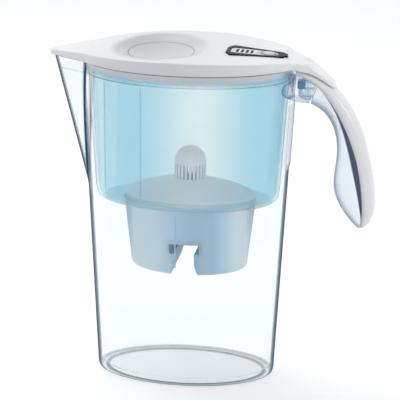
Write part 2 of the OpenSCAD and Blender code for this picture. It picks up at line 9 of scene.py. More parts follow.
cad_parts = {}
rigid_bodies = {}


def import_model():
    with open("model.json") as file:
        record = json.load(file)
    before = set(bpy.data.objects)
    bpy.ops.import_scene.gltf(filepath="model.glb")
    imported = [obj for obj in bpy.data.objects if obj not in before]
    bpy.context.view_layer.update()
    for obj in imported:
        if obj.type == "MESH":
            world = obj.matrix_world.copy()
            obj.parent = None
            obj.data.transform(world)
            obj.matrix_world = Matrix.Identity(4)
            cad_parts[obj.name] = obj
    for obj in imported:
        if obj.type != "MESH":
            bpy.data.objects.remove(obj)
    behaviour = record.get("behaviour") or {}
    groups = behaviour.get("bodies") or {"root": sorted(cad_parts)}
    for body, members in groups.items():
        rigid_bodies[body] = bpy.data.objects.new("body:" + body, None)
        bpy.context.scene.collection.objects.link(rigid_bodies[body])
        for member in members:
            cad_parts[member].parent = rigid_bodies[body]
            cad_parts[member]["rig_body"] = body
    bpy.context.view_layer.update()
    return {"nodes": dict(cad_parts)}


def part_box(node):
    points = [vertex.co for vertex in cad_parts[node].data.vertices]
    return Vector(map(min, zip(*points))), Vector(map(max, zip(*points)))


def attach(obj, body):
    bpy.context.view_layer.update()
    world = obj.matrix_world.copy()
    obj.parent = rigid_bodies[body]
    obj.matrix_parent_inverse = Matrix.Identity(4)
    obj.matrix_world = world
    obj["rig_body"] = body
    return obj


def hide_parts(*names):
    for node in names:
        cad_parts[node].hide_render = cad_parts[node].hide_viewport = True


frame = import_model()
scene = bpy.context.scene
scene.view_settings.view_transform = "Standard"

# ---- Jug -----------------------------
# One clear moulding: an oval beaker that widens upward, with a pointed spout that leaves the
# wall halfway up, a ledge inside the rim for the hopper, a foot ring and a strip down the back.
MM = 0.001


def make_node(tree, kind, settings, inputs, out=0):
    """Any node, as the wire from one of its outputs.

    Its settings are made first, then its sockets, by name or place, are set or linked.
    """
    n = tree.nodes.new("ShaderNode" + kind)
    for key, value in settings.items():
        if key == "stops":
            ramp = n.color_ramp.elements
            while len(ramp) < len(value):
                ramp.new(0.5)
            for e, (place, colour) in zip(ramp, value):
                e.position, e.color = place, (*colour, 1.0)
        else:
            setattr(n, key, value)
    for key, value in inputs.items():
        slot = n.inputs[key]
        if isinstance(value, Wire):
            tree.links.new(value.socket, slot)
        elif hasattr(slot.default_value, "__len__") and len(slot.default_value) == 4:
            slot.default_value = (*value, 1.0)
        else:
            slot.default_value = value
    return Wire(tree, n.outputs[out])


class Wire:
    """A socket in a material, with Python's operators standing for Math nodes."""

    def __init__(self, tree, socket):
        self.tree, self.socket = tree, socket

    def math(self, operation, *values):
        """A Math node of this operation on the values, each a wire or a number."""
        return make_node(self.tree, "Math", {"operation": operation}, dict(enumerate(values)))

    def __add__(self, other):
        return self.math("ADD", self, other)

    __radd__ = __add__

    def __mul__(self, other):
        return self.math("MULTIPLY", self, other)

    __rmul__ = __mul__

    def __sub__(self, other):
        return self.math("SUBTRACT", self, other)

    def __rsub__(self, other):
        return self.math("SUBTRACT", other, self)

    def __truediv__(self, other):
        return self.math("DIVIDE", self, other)

    def __pow__(self, other):
        return self.math("POWER", self, other)

    def __abs__(self):
        return self.math("ABSOLUTE", self)

    def clamp(self):
        """The value held between 0 and 1."""
        return self.math("MINIMUM", self.math("MAXIMUM", self, 0.0), 1.0)

    def hump(self, centre, half):
        """1 at the centre, falling to 0 at half a width away on either side."""
        return (1.0 - abs(self - centre) / half).clamp()


class Finish:
    """A material, or the world's light, under construction."""

    def __init__(self, name, kind="materials"):
        self.owner = getattr(bpy.data, kind).new(name)
        self.owner.use_nodes = True
        self.tree = self.owner.node_tree
        self.tree.nodes.clear()

    def node(self, kind, settings=None, out=0, **inputs):
        """Any node of this material, its sockets given by name."""
        inputs = {key.replace("_", " "): value for key, value in inputs.items()}
        return make_node(self.tree, kind, settings or {}, inputs, out)

    def axis(self, which):
        """The place along X, Y or Z in millimetres, from Object coordinates."""
        where = self.node("TexCoord", out=3)
        return self.node("SeparateXYZ", out="XYZ".index(which), Vector=where) * 1000.0

    def grain(self, scale, detail=2.0):
        """Soft noise with scale cells in a metre."""
        where = self.node("TexCoord", out=3)
        return self.node("TexNoise", Vector=where, Scale=scale, Detail=detail)

    def field(self, name):
        """A value stored at the mesh's points."""
        return self.node("Attribute", {"attribute_name": name}, out=2)

    def mix(self, factor, a, b):
        """Colour from a at factor 0 to b at factor 1."""
        return make_node(self.tree, "Mix", {"data_type": "RGBA"}, {0: factor, 6: a, 7: b}, 2)

    def bump(self, height, distance):
        """A normal tilted by a height from 0 to 1 that stands for a distance in metres."""
        return self.node("Bump", Height=height, Distance=distance)

    def pebble(self, scale=900.0, depth=0.00001):
        """The faint grain of a moulded surface: a bump of soft noise."""
        return self.bump(self.grain(scale), depth)

    def turned(self):
        """0 where the surface faces the eye, 1 where it is seen edge on."""
        return self.node("LayerWeight", out=1, Blend=0.5)

    def seen(self):
        """1 for what is seen straight on, mirrored or through a clear piece, 0 for its light."""
        direct, mirrored, passed = (self.node("LightPath", out=k) for k in (0, 3, 6))
        return (direct + mirrored + passed).clamp()

    def finish(self, shader, kind="Material"):
        """Sends a shader to the output, and gives the finished material or world."""
        out = self.tree.nodes.new("ShaderNodeOutput" + kind)
        self.tree.links.new(shader.socket, out.inputs[0])
        return self.owner

    def solid(self, colour, roughness, **more):
        """A surface that nothing shows through."""
        return self.finish(self.node("BsdfPrincipled", Base_Color=colour, Roughness=roughness,
                                     **more))

    def clear(self, tint, body, cover, roughness=0.06, gloss=1.0, deeper=(), **more):
        """Clear plastic: a tint for what shows through it, and a body that hides it by cover.

        Its skin mirrors 4% face on and 94% edge on, by the fifth power of how far it is turned.
        deeper holds further tints, each with the share of it that varies over the surface.
        """
        through = self.node("BsdfTransparent", Color=tint)
        for share, other in deeper:
            through = self.blend(share, through, self.node("BsdfTransparent", Color=other))
        # Light on its way to other pieces isn't tinted, so they keep their own colours
        light = (self.node("LightPath", out=1) + self.node("LightPath", out=2)).clamp()
        through = self.blend(light, through, self.node("BsdfTransparent", Color=(1.0, 1.0, 1.0)))
        surface = self.node("BsdfPrincipled", Base_Color=body, Roughness=roughness, IOR=1.49,
                            Specular_IOR_Level=0.0, **more)
        shine = self.node("BsdfGlossy", Color=(1.0, 1.0, 1.0), Roughness=roughness, **more)
        glance = (self.turned() ** 5.0 * 0.9 + 0.04) * gloss
        inside = self.blend(cover * (1.0 - light * 0.85), through, surface)
        return self.finish(self.blend(glance, inside, shine))

    def blend(self, share, a, b):
        """Shader a where share is 0 and b where it is 1."""
        return make_node(self.tree, "MixShader", {}, {0: share, 1: a, 2: b})


def skin(name, points, material, body, node=None, sharp=40.0, fields=None, ends=(True, True)):
    """Closed surface through a grid of points (rows, columns, 3) in millimetres.

    Each row is a closed ring, so the last column joins the first. An end that is closed gets one
    more point in the middle of its ring. fields holds one value for each grid point, by name.
    """
    rows, columns = points.shape[:2]
    flat = points.reshape(-1, 3)
    ring = np.arange(columns)
    after = (ring + 1) % columns
    start = np.arange(rows - 1)[:, None] * columns
    a, b = (start + ring).ravel(), (start + after).ravel()
    faces = np.stack([a, b, b + columns, a + columns], 1).tolist()
    extra = []
    for is_closed, row in zip(ends, (0, rows - 1)):
        if is_closed:
            middle = np.full(columns, rows * columns + len(extra))
            extra.append(points[row].mean(0))
            a, b = (after, ring) if row == 0 else (ring, after)
            faces += np.stack([row * columns + a, row * columns + b, middle], 1).tolist()
    if extra:
        flat = np.concatenate([flat, np.array(extra)])
    mesh = bpy.data.meshes.new(name)
    mesh.from_pydata((flat * MM).tolist(), [], faces)
    for key, values in (fields or {}).items():
        middles = np.array([values[0].mean(), values[-1].mean()])[:len(extra)]
        whole = np.concatenate([values.ravel(), middles]).astype(np.float32)
        mesh.attributes.new(key, "FLOAT", "POINT").data.foreach_set("value", whole)
    return settle(name, mesh, material, body, node, sharp)


def add(name, data):
    """A new object in the scene for a mesh, a lamp or a camera."""
    new = bpy.data.objects.new(name, data)
    scene.collection.objects.link(new)
    return new


def mend(mesh, merge=0.0, outward=True):
    """Joins the points that are closer than merge, in metres, and turns the faces outward."""
    work = bmesh.new()
    work.from_mesh(mesh)
    if merge:
        bmesh.ops.remove_doubles(work, verts=work.verts, dist=merge)
    if outward:
        bmesh.ops.recalc_face_normals(work, faces=work.faces)
    work.to_mesh(mesh)
    work.free()


def settle(name, mesh, material, body, node=None, sharp=40.0, merge=1e-7, outward=True):
    """Turns a mesh into a piece that rides on a body and stands for a CAD node.

    It is smooth but for the edges that turn by more than sharp degrees.
    """
    mend(mesh, merge, outward)
    mesh.materials.clear()
    mesh.materials.append(material)
    mesh.shade_smooth()
    mesh.set_sharp_from_angle(angle=math.radians(sharp))
    piece = add(name, mesh)
    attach(piece, body)
    if node:
        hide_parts(node)
    return piece


def smooth_max(a, b, k):
    """The larger of a and b, rounded over where they differ by less than k."""
    h = np.clip(k - np.abs(a - b), 0, None) / k
    return np.maximum(a, b) + h * h * k / 4


def smooth_step(x, low, high):
    """0 below low, 1 above high, eased between."""
    t = np.clip((x - low) / (high - low), 0, 1)
    return t * t * (3 - 2 * t)


def arc(c, r, start, stop, n):
    """Points of a circle's arc about c from the angle start to stop in degrees."""
    t = np.radians(np.linspace(start, stop, n))
    return np.stack([c[0] + r * np.cos(t), c[1] + r * np.sin(t)], 1)


jug_h, base_a, rim_a, oval = 260.0, 71.0, 85.0, 0.635
jug_wall, rim_wall, ledge_z, floor_z, foot_r = 2.6, 1.5, 246.0, 5.0, 4.0
spout_x, nose_r, spout_slope, flank = -102.5, 5.0, 0.258392, math.radians(33)


def oval_radius(turn, z, inset):
    """Distance from the axis to the jug's oval in the direction turn, at height z.

    The half-length grows evenly from base_a to rim_a, and inset comes off it and the half-width.
    """
    a = base_a + (rim_a - base_a) * z / jug_h
    long_way, wide_way = np.cos(turn) / (a - inset), np.sin(turn) / (oval * a - inset)
    return 1 / np.sqrt(long_way ** 2 + wide_way ** 2)


def spout_radius(turn, centre, r, reach=0.906):
    """Distance from the axis to the spout, 0 where the direction's cosine is above -reach.

    The spout is a circle of radius r about centre with a straight tangent flank on each side.
    """
    cos, sin = np.cos(turn), np.sin(turn)
    along = cos * centre
    under_root = along ** 2 - centre ** 2 + r ** 2
    nose = along + np.sqrt(np.clip(under_root, 0, None))
    on_nose = (np.abs(nose * sin) <= r * math.cos(flank)) & (under_root > 0)
    side = ((r - math.sin(flank) * centre)
            / (math.cos(flank) * np.abs(sin) - math.sin(flank) * cos))
    return np.where(cos < -reach, np.where(on_nose, nose, side), 0.0)


def jug_radius(turn, z, inset):
    """The jug's plan: the larger of its oval and its spout, which leans outward as it rises."""
    spout = spout_radius(turn, spout_x + spout_slope * (jug_h - z), nose_r - inset)
    return smooth_max(oval_radius(turn, z, inset), spout, 1.6)


# Directions round the axis, closer together at the spout
turn = np.radians(np.concatenate([np.arange(150, 210, 0.32), np.arange(210, 510, 1.2)]))
heights = np.concatenate([[foot_r + 1], np.linspace(8, 120, 15), np.linspace(124, 256, 45)])
# Heights and insets: up the outside to the rounded rim, and down inside over the ledge
outer = [(z, 0.0) for z in heights]
outer += [(jug_h - down, inset) for down, inset in ((1.4, 0), (0.7, 0.05), (0.2, 0.35), (0, 0.75))]
inner = [(jug_h - 0.2, 1.15), (jug_h - 0.7, 1.45), (jug_h - 1.4, rim_wall), (252, rim_wall),
         (ledge_z + 0.2, rim_wall), (ledge_z, 1.7), (ledge_z, 2.4), (ledge_z - 0.2, jug_wall)]
inner += [(z, jug_wall) for z in np.linspace(242, 12, 40)]
# Shares of the foot's radius and heights, with a groove inside the foot ring
foot = [(0.02, 0), (0.4, 0), (0.8, 0), (0.925, 0), (0.93, 1.2), (0.97, 1.2), (0.975, 0)]
rows = [(share * oval_radius(turn, 0.0, foot_r), z) for share, z in foot]
for angle in np.radians([0, 15, 30, 45, 60, 75, 90]):
    # A quarter round of foot_r from the floor out to the wall
    inset, z = foot_r * (1 - np.sin(angle)), foot_r * (1 - np.cos(angle))
    rows.append((oval_radius(turn, 0.0, inset), z))
first_outer = len(rows)
for z, inset in outer + inner:
    rows.append((jug_radius(turn, z, inset), z))
for angle in (0, 20, 40, 60, 80):
    inset = jug_wall + foot_r * (1 - math.cos(math.radians(angle)))
    z = floor_z + foot_r * (1 - math.sin(math.radians(angle)))
    rows.append((oval_radius(turn, z, inset), z))
for share in (0.9, 0.6, 0.3, 0.02):
    rows.append((share * oval_radius(turn, floor_z, jug_wall), floor_z))
radius = np.array([r for r, z in rows])
height = np.array([np.broadcast_to(z, turn.shape) for r, z in rows])
# The strip down the back wall, from the bracket to 172 mm
strip_half, strip_low, strip_high, strip_proud = 14, 172, 228, 0.8
strip = (smooth_step(strip_half - np.abs(radius * np.sin(turn)), 0, 2) * (np.cos(turn) > 0)
         * smooth_step(height, strip_low, strip_low + 4) * smooth_step(strip_high - height, 0, 3))
outside = np.zeros((len(rows), 1))
outside[first_outer - 3:first_outer + len(outer)] = 1
radius = radius + strip_proud * strip * outside
jug_points = np.stack([radius * np.cos(turn), radius * np.sin(turn), height], 2)
# The radius at which the wall bends in plan, and how near a point is to the spout's crease
sharp_bend, flat_bend = 2.2, 400
step = np.gradient(np.concatenate([turn, turn[:1] + 2 * np.pi]))[:-1]
dx, dy = (np.gradient(jug_points[..., i], axis=1) / step for i in (0, 1))
ddx, ddy = np.gradient(dx, axis=1) / step, np.gradient(dy, axis=1) / step
turning = dx * ddy - dy * ddx
bend = np.abs((dx ** 2 + dy ** 2) ** 1.5 / np.where(np.abs(turning) < 1e-6, 1e-6, turning))
at_bracket = (np.cos(turn) > 0) & (np.abs(radius * np.sin(turn)) < 22)
at_bracket = at_bracket * smooth_step(height, 170, 182)
bend = np.clip(np.where(outside > 0, bend, flat_bend), sharp_bend, flat_bend) * (1 + 4 * at_bracket)
spout_at = spout_radius(turn, spout_x + spout_slope * (jug_h - height), nose_r)
crease = np.exp(-((oval_radius(turn, height, 0) - spout_at) / 0.9) ** 2) * outside
crease = crease * smooth_step(height, 148, 170) * (np.abs(np.sin(turn)) > 0.02)


def edge_line(f, width):
    """1 along the outline of a round wall, 0 past a line of the width in millimetres.

    Where the wall bends by a radius r, a point whose normal turns away by the sine s lies
    r(1 - s) inside the outline.
    """
    facing = 1.0 - f.turned()
    return (1.0 - f.field("bend") * (1.0 - (1.0 - facing * facing) ** 0.5) / width).clamp()


f = Finish("clear_jug")
turned = f.turned()
edge = edge_line(f, 3.0)
up = f.axis("Z")
# A painted shadow line just under the lid's skirt, and a dark line round the foot
skirt_shadow_and_foot_line = up.hump(256.3, 0.7) * 0.8 + up.hump(1.2, 1.6) * 0.45
line = (edge + f.field("crease") * 0.9 + skirt_shadow_and_foot_line).clamp()
mist = f.field("strip") * 0.42
deep = f.mix(f.field("crease"), (0.008, 0.085, 0.13), (0.008, 0.035, 0.12))
colour = f.mix(mist, f.mix((line * 3.0).clamp(), (0.62, 0.80, 0.86), deep), (0.56, 0.60, 0.76))
cover = (0.012 + 0.06 * turned ** 3.0 + line ** 0.5 * 0.95 + mist).clamp()
clear_jug = f.clear((0.984, 0.994, 0.996), colour, cover, gloss=1.0 - line,
                    Normal=f.pebble(60.0, 0.00005))
skin("jug", jug_points, clear_jug, "jug", "jug_body", sharp=50.0,
     fields={"bend": bend, "crease": crease, "strip": strip * outside})


def block(name, low, high, material, body, node=None, power=0.25, rounding=0.3):
    """Rounded block between two corners: superellipse rings up Z, drawn in at both ends.

    A ring's points go as the cosine and the sine, each to the power.
    """
    low, high = np.array(low, float), np.array(high, float)
    middle, half = (low + high) / 2, (high - low) / 2
    t = np.linspace(0, 2 * np.pi, 48, endpoint=False)
    c, s = np.cos(t), np.sin(t)
    plan = np.stack([np.sign(c) * np.abs(c) ** power, np.sign(s) * np.abs(s) ** power], 1)
    corner = np.radians([0, 30, 60, 90])
    inset = np.concatenate([[half[:2].min() * 0.9], rounding * (1 - np.sin(corner))])
    along = np.concatenate([[-half[2]], -half[2] + rounding * (1 - np.cos(corner))])
    inset = np.concatenate([inset, inset[::-1]])
    along = np.concatenate([along, -along[::-1]])
    grid = np.zeros((len(inset), len(t), 3))
    grid[..., :2] = middle[:2] + plan[None] * (half[:2] - inset[:, None, None])
    grid[..., 2] = middle[2] + along[:, None]
    return skin(name, grid, material, body, node)


# ---- Bracket -------------------------
# A hollow box moulded on the jug's back wall, flared into the wall, open towards the handle.
# Its walls are 2.3 mm thick, and two posts stiffen the open end.
bracket_z, bracket_top, bracket_end, bracket_wall, lean = 228.0, 247.5, 96.0, 2.3, 0.347
around = np.linspace(0, 2 * np.pi, 120, endpoint=False)


def wall_x(y, z, under=1.2):
    """How far out the back wall is at y and z, measured under its surface."""
    a = base_a + (rim_a - base_a) * z / jug_h
    return a * np.sqrt(np.clip(1 - (y / (oval * a)) ** 2, 0.05, 1)) - under


def bracket_ring(s, thin, scale=1.0, stop=None):
    """Ring across the bracket at the share s of its length: a superellipse, wide at the wall.

    It closes in as the exponential of -s, thin is taken off all round, and the hollow starts
    at stop.
    """
    half = 11.5 + 10 * math.exp(-s / 0.17) - thin
    x_mid = 84 + 15 * s
    low = bracket_z + 3.0 * math.exp(-s / 0.2) + thin
    high = min(bracket_top - 0.05 * (x_mid - 84), 246.4 - 0.55 * max(x_mid - 93, 0)) - thin
    shoulder = high - 5.5
    power = 0.34 + 0.5 * math.exp(-s / 0.2)
    c, sn = np.cos(around), np.sin(around)
    y = half * np.sign(c) * np.abs(c) ** power * scale
    tall = np.where(sn > 0, high - shoulder, shoulder - low)
    z = shoulder + scale * tall * np.sign(sn) * np.abs(sn) ** power
    root, end = wall_x(y, z), bracket_end + (z - bracket_z) * lean
    x = root + s * (end - root)
    if stop is not None:
        x = end + (stop - end) * (1 - s)
    return np.stack([x, y, z], 1)


rings = [bracket_ring(0, 0, scale) for scale in (0.03, 0.35, 0.7, 0.95)]
rings += [bracket_ring(s, 0) for s in np.linspace(0, 1, 22)]
rings += [bracket_ring(1, 0.5), bracket_ring(1, 1.8)]
rings += [bracket_ring(s, bracket_wall, stop=88.5) for s in np.linspace(1, 0, 10)]
f = Finish("clear_bracket")
turned = f.turned()
line = (turned ** 3.0 * 1.1 + f.field("root") * 0.75).clamp()
colour = f.mix(line, (0.50, 0.72, 0.92), (0.015, 0.11, 0.34))
clear_bracket = f.clear((0.95, 0.975, 0.99), colour, (0.03 + 0.85 * line).clamp(),
                        gloss=1.0 - line, Normal=f.pebble(60.0, 0.00005))
root = np.zeros((len(rings), len(around)))
root[3:5] = 1
bracket = skin("bracket", np.array(rings), clear_bracket, "jug", fields={"root": root})
post_y, post_half = 7.3, 1.4
for side in (-1, 1):
    post = block("bracket_post_%d" % (side + 2), (92.4, side * post_y - post_half, 229.5),
                 (95.2, side * post_y + post_half, 244.5), clear_bracket, "jug",
                 power=0.95, rounding=0.4)

# ---- Handle --------------------------
# A white outer cover snapped on a clear solid grip, with a dark slate strip between them: painted
# shade in the gap.
# The grip's tongue goes into the bracket, where a blue block locks it.


def bezier(points, t):
    """Bezier curve of control points measured from the rim's end, for an array of t.

    Neighbours are blended by 1 - t and t, over and over, until one is left.
    """
    p = [np.array([x + rim_a, z + jug_h])[None, :] * np.ones((len(t), 1)) for x, z in points]
    while len(p) > 1:
        p = [a * (1 - t[:, None]) + b * t[:, None] for a, b in zip(p[:-1], p[1:])]
    return p[0]


# Side views of the handle: its outer edge, the split between cover and grip, its inner edge
cover_edge = [(-1, -5.5), (27, -6), (48, -36.5), (62, -57.5), (47.5, -68), (81.5, -117),
              (54, -133.5)]
split_edge = [(-0.5, -9.5), (31, -7.5), (57, -89.5), (53.5, -133.5)]
grip_edge = [(-4, -29), (-17, -48), (61.5, 24), (49, -144), (2, -55), (38.5, -129.5),
             (53, -133.3)]
cover_half, grip_half = 13.0, 11.5
shade_strip_from, shade_strip_to, shade_strip_deep, shade_strip_gap = 0.36, 0.93, 2.6, 0.15


def bow_rings(a, b, half, lift=0.75, n=72, flat=16):
    """Rings across the handle from the side-view points a to b: flat at a and round at b.

    Round the bow, the way from a to b goes as sin(u) to the power lift and the width as cos(u).
    """
    u = np.linspace(0, np.pi, n)
    out = np.clip(np.sin(u), 0, None) ** lift
    wide = -np.sign(np.cos(u)) * np.abs(np.cos(u)) ** 0.62
    out = np.concatenate([out, np.zeros(flat)])
    wide = np.concatenate([wide, np.linspace(1, -1, flat + 2)[1:-1]])
    q = a[:, None, :] + (b - a)[:, None, :] * out[None, :, None]
    y = half[:, None] * wide[None, :]
    return np.stack([q[..., 0], y, q[..., 1]], 2), np.broadcast_to(out, y.shape)


def from_split(t):
    """The split between cover and grip, the way inward from it, and the grip's inner edge."""
    a, b = bezier(split_edge, t), bezier(grip_edge, t)
    return a, (b - a) / np.linalg.norm(b - a, axis=1)[:, None], b


def shade_strip_depth(t):
    """How deep the dark strip lies behind the split: half a sine wave from shade_strip_from to
    shade_strip_to.
    """
    wave = shade_strip_deep * np.sin(np.pi * (t - shade_strip_from) / (shade_strip_to - shade_strip_from))
    return np.where((t < shade_strip_from) | (t > shade_strip_to), 0, wave)[:, None]


t = 0.012 + 0.972 * np.linspace(0, 1, 150)
points, across = bow_rings(bezier(split_edge, t), bezier(cover_edge, t),
                           cover_half * (1 - 0.55 * t ** 7))
f = Finish("handle_white")
# Painted shade: the gap's shade shows as a slate crescent beside the split
gap_shade_crescent = ((f.field("along").hump(0.63, 0.36) ** 0.6 * 0.25 - f.field("across")) * 26.0).clamp()
# Painted shade: grey along the split, fading out towards the outer edge
split_shade = (1.0 - f.field("across") * 2.3).clamp() * 0.5
white = f.mix(split_shade, (0.92, 0.925, 0.935), (0.20, 0.23, 0.29))
colour = f.mix(gap_shade_crescent, white, (0.045, 0.07, 0.15))
handle_white = f.solid(colour, 0.26, Coat_Weight=0.3, Normal=f.pebble())
skin("handle_cover_shell", points, handle_white, "jug", "handle_cover", sharp=60,
     fields={"across": across, "along": np.broadcast_to(t[:, None], across.shape)})

t = np.linspace(0.2, 0.98, 130)
split, inward, inner_side = from_split(t)
body_points, across = bow_rings(split + inward * (shade_strip_depth(t) + shade_strip_gap), inner_side,
                                grip_half * (1 - 0.5 * t ** 7))
x = np.array([88.0, bracket_end + 0.4])
tongue, tongue_across = bow_rings(np.stack([x + 10 * lean, x * 0 + bracket_z + 10], 1),
                                  np.stack([x + 3 * lean, x * 0 + bracket_z + 3], 1), x * 0 + 4)
f = Finish("clear_grip")
turned = f.turned()
rim = turned ** 1.35
inner_edge = ((f.field("across") - 0.80) * 5.0).clamp()
colour = f.mix(rim, (0.62, 0.78, 0.92), (0.05, 0.15, 0.38))
cover = (0.10 + 0.70 * rim + 0.20 * inner_edge).clamp()
clear_grip = f.clear((0.93, 0.96, 0.985), colour, cover, roughness=0.04,
                     Normal=f.pebble(40.0, 0.0002))
skin("handle_grip_core", np.concatenate([tongue, body_points]), clear_grip, "jug", "handle_grip",
     sharp=60, fields={"across": np.concatenate([tongue_across, across])})

# The dark slate strip between grip and cover: painted shade in the gap between them
t = np.linspace(0.39, 0.90, 60)
split, inward, _ = from_split(t)
points, _ = bow_rings(split + inward * shade_strip_gap, split + inward * (shade_strip_depth(t) - shade_strip_gap),
                      grip_half + 0 * t, lift=0.3, n=32)
f = Finish("painted_gap_shade")
speckle = f.grain(1800.0)
slate = f.solid(f.mix(speckle, (0.045, 0.075, 0.15), (0.075, 0.115, 0.21)), 0.55,
                Normal=f.bump(speckle, 0.00003))
skin("handle_gap_shade", points, slate, "jug", "grip_liner", sharp=50)

f = Finish("blue_latch")
# The blue is darker at the bottom and lighter towards the top
blue_by_height = (f.axis("Z") - 238.4) / 6.0
latch_blue = f.solid(f.mix(blue_by_height.clamp(), (0.03, 0.16, 0.45), (0.06, 0.24, 0.58)), 0.18,
                     Normal=f.pebble())
low, high = (np.array(c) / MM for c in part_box("handle_latch"))
block("latch_block", low, high, latch_blue, "jug", "handle_latch", power=0.12, rounding=0.5)

# ---- Hopper --------------------------
# The cyan tank that hangs on the jug's ledge by its flange, with the cartridge's oval pocket
# below it, the key-shaped tunnel through the pocket and two outlets, all one moulding.
tank_k, flange_k, tank_in_k, pocket_k, pocket_in_k = 0.61246, 0.62844, 0.60243, 0.635, 0.62059
tank_z, tank_tall, tank_a, tank_flare = 144.0, 102.3, 72.85, 6.5
pocket_x, pocket_z, pocket_a, pocket_flare, shell = 2.0, 88.0, 46.5, 6.0, 2.0
flange_z, flange_top = tank_z + tank_tall, 248.7


def tank_half(z):
    """Half-length of the tank's outside, which grows evenly from tank_a at its floor."""
    return tank_a + tank_flare * (z - tank_z) / tank_tall


def pocket_half(z):
    """Half-length of the pocket's outside, which grows evenly above its rounded foot."""
    return pocket_a + pocket_flare * (z - 93) / 51


def round_edge(a, z, r, n=7):
    """Half-lengths and heights of a quarter round of radius r, from under a to beside it."""
    u = np.linspace(0, np.pi / 2, n)
    return list(zip(a - r + r * np.sin(u), z + r - r * np.cos(u)))


def oval_rows(rows, columns=300):
    """Rings of points, from each oval's middle on X, half-length, share of width and height."""
    u = np.linspace(0, 2 * np.pi, columns, endpoint=False)
    c, a, k, z = (np.array(v)[:, None] for v in zip(*rows))
    return np.stack([c + a * np.cos(u), k * a * np.sin(u), z + 0 * u], 2)


def ovals(middle, k, sizes):
    """Ovals that share a middle and a share of width, from their half-lengths and heights."""
    return [(middle, a, k, z) for a, z in sizes]


def straight(a, z, flare, tall, shares):
    """Half-lengths and heights up a straight wall that widens by flare over tall."""
    return [(a + flare * s, z + tall * s) for s in shares]


# Up the outside: the pocket, the tank's floor and wall, and the flange
rows = ovals(pocket_x, pocket_k, [(a, pocket_z) for a in (1, 14, 28)])
rows += ovals(pocket_x, pocket_k, round_edge(pocket_a, pocket_z, 5))
rows += ovals(pocket_x, pocket_k,
              straight(pocket_a, 93, pocket_flare, 51, np.linspace(0.06, 0.985, 16)))
pocket_count = len(rows)
rows += [(pocket_x * (1 - s), 52.6 + 13.25 * s, pocket_k + (tank_k - pocket_k) * s, tank_z)
         for s in (0.02, 0.1, 0.5, 0.9)]
rows += ovals(0, tank_k, round_edge(tank_a, tank_z, 7, 9))
rows += ovals(0, tank_k,
              straight(tank_a, tank_z, tank_flare, tank_tall, np.linspace(0.1, 0.995, 24)))
outer_count = len(rows) + 3
rows += ovals(0, tank_k, [(79.6, flange_z)])
rows += ovals(0, flange_k, [(81.9, flange_z), (82.2, flange_z + 0.2), (82.25, 247.4),
                            (82.2, flange_top - 0.2), (81.9, flange_top)])
# Down the inside, a shell's thickness further in
tank_floor, pocket_floor = tank_z + shell, pocket_z + shell
rows += ovals(0, tank_in_k, [(77.8, flange_top), (77.45, flange_top - 0.3)])
rows += ovals(0, tank_in_k,
              straight(tank_a - shell, tank_floor, tank_flare, 102, np.linspace(0.98, 0.1, 22)))
rows += ovals(0, tank_in_k, round_edge(tank_a - shell, tank_floor, 6, 8)[::-1])
rows += [(pocket_x * s, 64.85 - 13.65 * s, tank_in_k + (pocket_in_k - tank_in_k) * s, tank_floor)
         for s in (0.1, 0.5, 0.9)]
rows += ovals(pocket_x, pocket_in_k, [(50.9, tank_floor), (50.5, tank_floor - 0.4)]
              + straight(pocket_a - shell, pocket_floor, pocket_flare, 57,
                         np.linspace(0.96, 0.1, 14))
              + round_edge(pocket_a - shell, pocket_floor, 4)[::-1]
              + [(a, pocket_floor) for a in (28, 14, 1)])

f = Finish("cyan_tank")
along, up = f.axis("X"), f.axis("Z")
turned = f.turned()
# The cyan deepens away from the middle, but less past the rib at the spout's end
saturated = ((abs(along - 9.0) - 8.0) / 36.0).clamp() * (1.0 - (-61.5 - along).clamp() * 0.55)
# Painted light on the pocket: pale highlight bands and darker shaded bands, by the share of its
# length
pocket_light_bands = [(0.00, (0.22, 0.42, 0.50)), (0.055, (0.28, 0.50, 0.60)), (0.10, (0.76, 0.92, 1.0)),
         (0.26, (0.76, 0.92, 1.0)), (0.44, (0.50, 0.75, 0.92)), (0.55, (0.40, 0.64, 0.80)),
         (0.72, (0.42, 0.66, 0.82)), (0.80, (0.58, 0.83, 0.98)), (0.88, (0.86, 0.95, 1.0)),
         (0.94, (0.78, 0.90, 1.0)), (0.975, (0.32, 0.46, 0.58)), (1.00, (0.22, 0.36, 0.48))]
pocket_painted_light = f.node("ValToRGB", {"stops": pocket_light_bands}, Fac=(along + 51.0) / 106.0)
in_pocket = (144.6 - up).clamp()
lines = up.hump(246.5, 0.6) + up.hump(248.6, 0.6)
rim = edge_line(f, 1.0)
tone = f.mix(in_pocket, (0.42, 0.70, 0.84), pocket_painted_light)
line = ((lines * 0.55).clamp() + rim * 0.75).clamp()
tone = f.mix(line, tone, (0.06, 0.27, 0.40))
cover = (0.035 + in_pocket * 0.62 + line * 0.75 + turned ** 3.0 * 0.10).clamp()
cyan_tank = f.clear((0.955, 0.978, 0.978), tone, cover,
                    deeper=[(saturated, (0.775, 0.908, 0.946)), (in_pocket, (0.80, 0.89, 0.94))],
                    roughness=0.12, gloss=1.0 - line, Normal=f.pebble(60.0, 0.00004))
grid = oval_rows(rows)
u = np.linspace(0, 2 * np.pi, grid.shape[1], endpoint=False)
# An ellipse's radius of bend, from its half-length and its share of width
_, half, ratio, _ = (np.array(v)[:, None] for v in zip(*rows))
bend = half * (np.sin(u) ** 2 + (ratio * np.cos(u)) ** 2) ** 1.5 / ratio
is_outside = np.arange(len(rows))[:, None] < outer_count
hopper = skin("hopper_shell", grid, cyan_tank, "hopper", "hopper", sharp=45,
              fields={"bend": np.where(is_outside, np.clip(bend, 3, flat_bend), flat_bend)})


